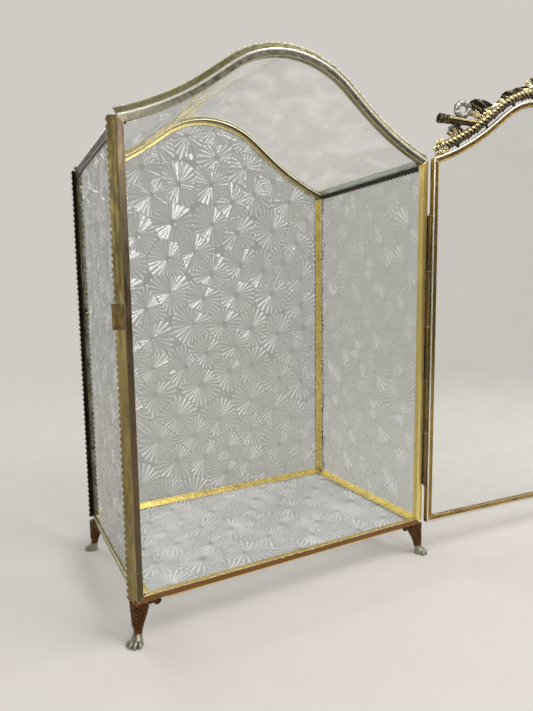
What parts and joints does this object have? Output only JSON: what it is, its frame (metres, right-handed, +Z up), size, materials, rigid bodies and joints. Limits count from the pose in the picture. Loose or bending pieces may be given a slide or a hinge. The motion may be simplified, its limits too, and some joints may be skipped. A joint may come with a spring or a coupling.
{
  "type": "glass display case",
  "caption": "Tabletop brass and glass display case with an ogee arched roof, pressed glass walls, paw feet and a hinged glass front door that carries a cast crest.",
  "frame": {"origin": "on the surface it stands on, under the middle of the case's plan without its door", "axes": "+Z up, +Y from the door opening to the back pane, +X to the right seen from the front"},
  "size_m": [0.4712, 0.1728, 0.3921],
  "materials": {
    "aged_brass": "folded brass strip with an olive brown tarnish and pale worn edges",
    "bright_brass": "bright gold brass strip with solder spots and dark corners",
    "cast_brass": "cast brass with pale rubbed tops and dark recesses",
    "pressed_glass": "clear glass pressed with starbursts of fine ridges",
    "clear_glass": "clear glass with a faint haze"
  },
  "bodies": {
    "case": {"front_post_left": "aged_brass", "front_post_right": "aged_brass", "front_arch": "aged_brass", "front_bottom_rail": "aged_brass", "back_post_left": "aged_brass", "back_post_right": "aged_brass", "back_arch": "aged_brass", "back_bottom_rail": "aged_brass", "shoulder_rail_left": "aged_brass", "shoulder_rail_right": "aged_brass", "base_rail_left": "aged_brass", "base_rail_right": "aged_brass", "catch_clip": "aged_brass", "hinge_leaf_case": "aged_brass", "hinge_pin": "aged_brass", "inner_strip_back_left": "bright_brass", "inner_strip_back_right": "bright_brass", "inner_strip_back_arch": "bright_brass", "inner_strip_floor_left": "bright_brass", "inner_strip_floor_right": "bright_brass", "inner_strip_floor_back": "bright_brass", "inner_strip_shoulder_left": "bright_brass", "inner_strip_shoulder_right": "bright_brass", "side_glass_left": "pressed_glass", "side_glass_right": "pressed_glass", "back_glass": "pressed_glass", "floor_glass": "pressed_glass", "top_glass": "clear_glass", "foot_front_left": "cast_brass", "foot_front_right": "cast_brass", "foot_back_left": "cast_brass", "foot_back_right": "cast_brass"},
    "door": {"door_stile_hinge": "aged_brass", "door_stile_free": "aged_brass", "door_arch": "aged_brass", "door_bottom_rail": "aged_brass", "hinge_leaf_door": "aged_brass", "door_glass": "clear_glass", "door_crest": "cast_brass"}
  },
  "joints": [
    {"name": "door_hinge", "type": "hinge", "parent": "case", "child": "door", "pos_m": [0.1166, -0.0732, 0.163], "axis": [0, 0, 1], "range_deg": [-175.3, 4.7]}
  ]
}
